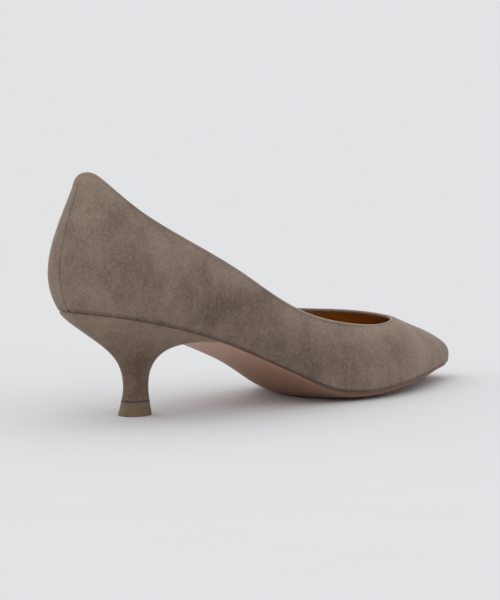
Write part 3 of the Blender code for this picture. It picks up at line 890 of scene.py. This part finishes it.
def sole_depth(depth):
    """Height of a layer of the sole at a share of its thickness; crowned, and flat where it stands on the
    floor.
    """
    def height(x, y, share):
        tread = ease((x - WAIST_AT) / (TREAD_AT - WAIST_AT))
        toe = np.clip((x - TOE_AT) / (LENGTH - TOE_AT), 0, 1)
        edge = WAIST_EDGE + (SOLE_EDGE - WAIST_EDGE) * tread + (TOE_EDGE - SOLE_EDGE) * toe
        crown = (WAIST_CROWN + (SOLE_CROWN - WAIST_CROWN) * tread) * min(np.ptp(y) / CROWN_WIDTH, 1)
        thickness = (edge + crown * (1 - share ** 2)) * depth
        level = offset_up(x, y, -SEAT_GAP - thickness)
        return (level + np.hypot(level, TREAD_SOFT)) / 2
    return height


layers = [[across(*row, sole_depth(depth)) for row in sole_stations(SOLE_INSET + SOLE_EDGE_ROUND * inset)]
          for inset, depth in SOLE_RIM]
points, faces = plate(layers)
spots = np.array(points)
# Painted shade from the heel's wings towards the ball
ball_shade = ease((spots[:, 0] - WING_AT) / (TREAD_AT - WING_AT))
brink = inset_line(SOLE_INSET)
brink = np.column_stack([brink, offset_up(*brink.T, -SEAT_GAP)])
# Painted shade along the sole's edge, from the waist forward
edge_shade = rim_share(points, brink, SOLE_EDGE) * ease((spots[:, 0] - WAIST_AT) / (TREAD_AT - WAIST_AT))
edge_shade *= 1 - EDGE_SHADE_FADE * ease((spots[:, 0] - TOE_AT) / (LENGTH - TOE_AT))
make_piece("leather_sole", points, faces, sole_leather, node="outsole", sharp=50,
           marks={"tread": ball_shade, "edge": edge_shade})

# Heel: a moulded core covered with the same suede, pulled tight and a little darker where painted shade
# darkens its stem towards the floor. Two wings run forward along the sole, with a pale painted highlight
# along their ridges; the breast between them is hollow; the stem is slim.
HEEL_INSET = 0.3
WING_ANGLE = 50.0
SEAT_EDGE = 2.3
WING_EDGE = 0.3
SEAT_SLOPE = 48.0
WING_SLOPE = -9.0
BREAST_SLOPE = 31.0
HEEL_PULL = 0.55
STEM_PULL = 18.0
NECK_AT = 40.6
NECK_TOP = 12.3
NECK_LOW = 12.0
NECK_LONG = 12.0
NECK_WIDE = 9.7
TIP_UP = 6.2
TIP_JOINT = 0.3
TIP_PEG = 0.9
TIP_TOP_SHARE = 1.13
TIP_FOOT_SHARE = 1.36
TIP_BACK = 0.6
HEEL_DARK = (0.117, 0.081, 0.058)
HEEL_LIGHT = (0.340, 0.253, 0.193)
STEM_SHADE = 0.28
STEM_SHADE_UP = 34.0
STEM_SHADE_RUN = 12.0
RIDGE_HIGHLIGHT = 0.3
RIDGE_HIGHLIGHT_REACH = 1.0
HEEL_STATIONS = 36
HEEL_ROWS = 34
NECK_ROWS = 12

heel_suede = suede("heel suede", HEEL_DARK, HEEL_LIGHT)


def neck_ring(angles, scale, height):
    """Oval of the heel's stem at given angles; as it flares it moves back."""
    flare = (scale - 1) / (TIP_FOOT_SHARE - 1)
    x = NECK_AT - TIP_BACK * flare + NECK_LONG / 2 * scale * np.cos(angles)
    y = NECK_WIDE / 2 * scale * np.sin(angles)
    return np.column_stack([x, y, np.full_like(x, height)])


# Each side of the seat runs from the back to its wing tip, and then along the breast to the middle
back = line_ends(HEEL_INSET)[0]
quarter = np.linspace(0, np.pi / 2, HEEL_STATIONS + 1)
breast, share = breast_line(WING_STATIONS)
x = np.concatenate([back + (BREAST_AT - back) * (1 - np.cos(quarter)), breast[1:]])
outer, inner = side_lines(x, HEEL_INSET)
sides = []
for line, sign in ((outer, -1), (inner, 1)):
    edge = np.column_stack([x, line])
    steps = np.linalg.norm(np.diff(edge, axis=0), axis=1)
    run = np.concatenate([[0.0], np.cumsum(steps)]) / steps.sum()
    hollow = np.column_stack([breast, line[HEEL_STATIONS:] * share])[::-1][1:]
    hollow_share = share[::-1][1:]
    angle = np.concatenate([sign * (np.pi - np.radians(180 - WING_ANGLE) * run),
                            sign * np.radians(WING_ANGLE) * hollow_share])
    slope = np.concatenate([SEAT_SLOPE + (WING_SLOPE - SEAT_SLOPE) * run,
                            BREAST_SLOPE + (WING_SLOPE - BREAST_SLOPE) * hollow_share ** 2])
    brow = np.concatenate([SEAT_EDGE + (WING_EDGE - SEAT_EDGE) * run, np.full(WING_STATIONS, WING_EDGE)])
    sides.append(np.column_stack([np.vstack([edge, hollow]), angle, np.radians(slope), brow]))
ring = np.vstack([sides[0], sides[1][-2:0:-1]])
plan, angles, slopes, brows = ring[:, :2], ring[:, 2], ring[:, 3], ring[:, 4:]
rim = np.column_stack([plan, offset_up(*plan.T, -SEAT_GAP)])
land = np.column_stack([plan, offset_up(*plan.T, -SEAT_GAP - WAIST_EDGE)])
brow = land - brows * [0, 0, 1]
neck = neck_ring(angles, 1, NECK_TOP)
reach = np.linalg.norm(neck[:, :2] - plan, axis=1, keepdims=True)
inward = (neck[:, :2] - plan) / reach
dive = np.column_stack([inward * np.cos(slopes)[:, None], -np.sin(slopes)])
stem_rise = np.array([0, 0, STEM_PULL])
rows = [rim, *bezier((land, brow, brow + dive * HEEL_PULL * reach, neck + stem_rise, neck),
                     np.linspace(0, 1, HEEL_ROWS + 1))]
for height in np.linspace(NECK_TOP, TIP_UP + TIP_JOINT, NECK_ROWS + 1)[1:]:
    flare = max(NECK_LOW - height, 0) / (NECK_LOW - TIP_UP)
    rows.append(neck_ring(angles, 1 + (TIP_TOP_SHARE - 1) * flare ** 2, height))
rows.append(neck_ring(angles, TIP_PEG, TIP_UP + TIP_JOINT))
rows.append(neck_ring(angles, TIP_PEG, TIP_UP))
points, faces, numbers = stack(rows)
faces = [face[::-1] for face in faces]

# The seat is closed by strips across it, one face at the middle of the breast, and the two wings
top = numbers[0]
count = len(top)
for i in range(HEEL_STATIONS - 1):
    faces.append((top[i], top[i + 1], top[-i - 1], top[-i]))
seat_end = HEEL_STATIONS
centre = top[count // 2]
faces.append((top[seat_end - 1], top[seat_end], centre, top[-seat_end], top[1 - seat_end]))
for k in range(WING_STATIONS):
    faces.append((top[seat_end + k], top[seat_end + k + 1], top[count // 2 - k - 1], top[count // 2 - k]))
    faces.append((top[-seat_end - k], top[count // 2 + k], top[count // 2 + k + 1], top[-seat_end - k - 1]))
faces.append(tuple(numbers[-1][::-1]))
wing = len(x) - 1
ridge = np.array([row[wing] for row in rows[:HEEL_ROWS]] + [row[-wing] for row in rows[HEEL_ROWS - 1::-1]])
# Painted shade on the stem, darker towards the floor, under the seat
stem = ease((STEM_SHADE_UP - np.array(points)[:, 2]) / STEM_SHADE_RUN)
marks = {"shade": spot_tone_and_painted_light(points) - STEM_SHADE * stem,
         # Pale painted highlight along the ridges of the wings
         "rim": RIDGE_HIGHLIGHT * rim_share(points, ridge, RIDGE_HIGHLIGHT_REACH)}
make_piece("covered_heel", points, faces, heel_suede, node="heel", sharp=42, marks=marks)

# Heel tip: the hard-wearing top piece, moulded in olive brown and nailed under the stem. It
# flares to the floor, with a thin taupe band at the joint and a small bevel below.
TIP_SIDES = 72
TIP_ROWS = 14
TIP_BEVEL = 0.35
TIP_CURVE = 1.4
TIP_BAND = 0.9
TIP_BAND_SOFT = 0.4
OLIVE_DARK = (0.090, 0.058, 0.026)
OLIVE_LIGHT = (0.250, 0.172, 0.092)
BAND_TAUPE = (0.115, 0.092, 0.070)

tip_finish = Finish("tip rubber", specular_ior_level=0.45)
speckle = tip_finish.cloud(0.5, detail=3)
streak = tip_finish.cloud(3, detail=3, stretch=(1, 1, 0.3))
band = tip_finish.mark("band")
olive = tip_finish.blend((0.5 + speckle * 0.4 + streak * 0.7).clamp(), OLIVE_DARK, OLIVE_LIGHT)
tip_rubber = tip_finish.done(
    base_color=tip_finish.blend(band, olive, BAND_TAUPE),
    roughness=(0.5 + streak * 0.3).clamp(),
    normal=tip_finish.relief(0.5 + speckle * 0.6, distance=0.04, strength=0.5))

angles = np.linspace(0, 2 * np.pi, TIP_SIDES, endpoint=False)
spread = TIP_FOOT_SHARE - TIP_TOP_SHARE
rows = []
for share in np.linspace(0, 1 - TIP_BEVEL / TIP_UP, TIP_ROWS):
    rows.append(neck_ring(angles, TIP_TOP_SHARE + spread * share ** TIP_CURVE, TIP_UP * (1 - share)))
foot_scale = TIP_FOOT_SHARE - 2 * TIP_BEVEL / NECK_LONG
rows.append(neck_ring(angles, foot_scale, 0.0))
points, faces, numbers = stack(rows)
faces = [face[::-1] for face in faces] + [tuple(numbers[0]), tuple(numbers[-1][::-1])]
band_share = ease((np.array(points)[:, 2] - TIP_UP + TIP_BAND) / TIP_BAND_SOFT)
make_piece("top_piece", points, faces, tip_rubber, node="heel_tip", sharp=40,
           marks={"band": band_share})

# Back tab: the tail of the outer quarter, folded over the top of the seam to the inner side
# and over the hem, and cut level below, so that a small step shows there.
TAB_THICKNESS = 0.35
TAB_LIFT = 0.22
TAB_SINK = 0.15
TAB_REACH = 1.6
TAB_LAP = 6
TAB_ROWS = 18
TAB_RAMP = 0.3
TAB_RISE_BEFORE = 3.5
TAB_RISE_RUN = 5.0
SLIT_SHADE = 0.8
SLIT_BEFORE = 0.5
SLIT_SHADE_FADE = 0.5

cut = top_up - TAB_DROP
reached = np.flatnonzero((turns > RING_ROWS - TAB_REACH) & (plain_wall[-1, :, 2] > cut + TAB_RAMP))
tab_columns = np.concatenate([reached, np.arange(TAB_LAP)])
hem_place = {column: i for i, column in enumerate(hem.columns)}
over = [hem_place[column] for column in tab_columns]
low = [np.interp(cut, plain_wall[:, k, 2], shares) for k in tab_columns]
tab_shares = np.linspace(low, 1, TAB_ROWS)
tab_wall = np.array([[between(share, shares, plain_wall[:, k]) for share, k in zip(row, tab_columns)]
                     for row in tab_shares])
tab_out = unit(np.array([[between(share, shares, wall_out[:, k]) for share, k in zip(row, tab_columns)]
                         for row in tab_shares]))
tab_round = hem_round[:, over]
hem_middle = (hem.edge - (hem.out + hem.up) * HEM_ROUND)[over]
round_out = unit(tab_round - hem_middle)
round_out[HEM_ROWS:] = -hem.out[over]
tab_grid = np.vstack([tab_wall, tab_round])
past_seam = tab_wall[-1, :, 1] - seam_side_at(top_up)
fullness = np.tile(ease((past_seam + TAB_RISE_BEFORE) / TAB_RISE_RUN), (len(tab_grid), 1))
fullness[0] = 0
lift = -TAB_SINK + (TAB_LIFT + TAB_SINK) * fullness
lift[-1] = -TAB_SINK
points, faces, numbers = stack(tab_grid + np.vstack([tab_out, round_out]) * lift[:, :, None], closed=False)
# Painted shade along the tab's cut, where its step is shadowed
slit_shade = np.zeros(tab_grid.shape[:2])
slit_shade[0] = SLIT_SHADE * ease(past_seam + SLIT_BEFORE)
slit_shade[1] = SLIT_SHADE_FADE * slit_shade[0]
marks = {"shade": nap_tone_and_highlight(points) - slit_shade.ravel(),
         # Pale painted highlight on the hem's brow, as on the upper
         "rim": HIGHLIGHT_BACK * rim_share(points, hem.edge, HIGHLIGHT_REACH)}
tab = make_piece("folded_tail", points, faces, upper_suede, node="back_tab", marks=marks)
thicken(tab, TAB_THICKNESS)

# Stage: a wide sheet of pale paper under even soft light, with two wide lamps high up beyond the
# heel and the toe, and a long lens low behind the outer side of the heel.
PAPER_RADIUS = 30.0
PAPER_SIDES = 64
PAPER_PALE = (0.800, 0.803, 0.812)
PAPER_GREY = (0.780, 0.783, 0.792)
LOOK_AT = (-0.0092, 0.0, 0.0448)
CAMERA_TURN = -44.01
CAMERA_RISE = 6.3
CAMERA_AWAY = 1.9416
CAMERA_LENS = 263.6
FILM_HIGH = 36.0
CLIP_AWAY = 100.0
STUDIO_TINT = (0.980, 0.985, 1.000, 1)
STUDIO_STRENGTH = 0.79

paper = Finish("pale paper", specular_ior_level=0.05)
pulp = paper.cloud(60, detail=4)
paper_sheet = paper.done(base_color=paper.blend((0.5 + pulp).clamp(), PAPER_GREY, PAPER_PALE), roughness=0.95)
circle = np.linspace(0, 2 * np.pi, PAPER_SIDES, endpoint=False)
mesh = bpy.data.meshes.new("paper")
mesh.from_pydata([(PAPER_RADIUS * math.cos(angle), PAPER_RADIUS * math.sin(angle), 0) for angle in circle],
                 [], [tuple(range(PAPER_SIDES))])
mesh.materials.append(paper_sheet)
floor = bpy.data.objects.new("paper", mesh)
bpy.context.scene.collection.objects.link(floor)


def aim(thing, back):
    """Turns a light or camera so that its back is towards a direction, without roll."""
    right = unit(np.cross([0, 0, 1], back))
    up = np.cross(back, right)
    for column, axis in enumerate((right, up, back)):
        for row in range(3):
            thing.matrix_world[row][column] = axis[row]


def soft_sun(name, towards, strength, softness):
    """Even light from a wide patch of sky."""
    lamp = bpy.data.lights.new(name, "SUN")
    lamp.energy = strength
    lamp.angle = math.radians(softness)
    holder = bpy.data.objects.new(name, lamp)
    aim(holder, unit(np.array(towards, float)))
    bpy.context.scene.collection.objects.link(holder)


soft_sun("heel side", towards=(-0.40, 0.50, 0.70), strength=0.42, softness=80)
soft_sun("toe side", towards=(0.60, 0.30, 0.74), strength=0.38, softness=60)
world = bpy.data.worlds.new("studio")
world.use_nodes = True
backdrop = world.node_tree.nodes["Background"]
backdrop.inputs["Color"].default_value = STUDIO_TINT
backdrop.inputs["Strength"].default_value = STUDIO_STRENGTH
bpy.context.scene.world = world

lens = bpy.data.cameras.new("long lens")
lens.sensor_fit = "VERTICAL"
lens.sensor_height = FILM_HIGH
lens.lens = CAMERA_LENS
lens.clip_end = CLIP_AWAY
camera = bpy.data.objects.new("camera", lens)
turn = math.radians(CAMERA_TURN)
rise = math.radians(CAMERA_RISE)
back = np.array([math.sin(turn) * math.cos(rise), -math.cos(turn) * math.cos(rise), math.sin(rise)])
aim(camera, back)
camera.location = np.array(LOOK_AT) + back * CAMERA_AWAY
bpy.context.scene.collection.objects.link(camera)
bpy.context.scene.camera = camera
bpy.context.scene.view_settings.view_transform = "Standard"
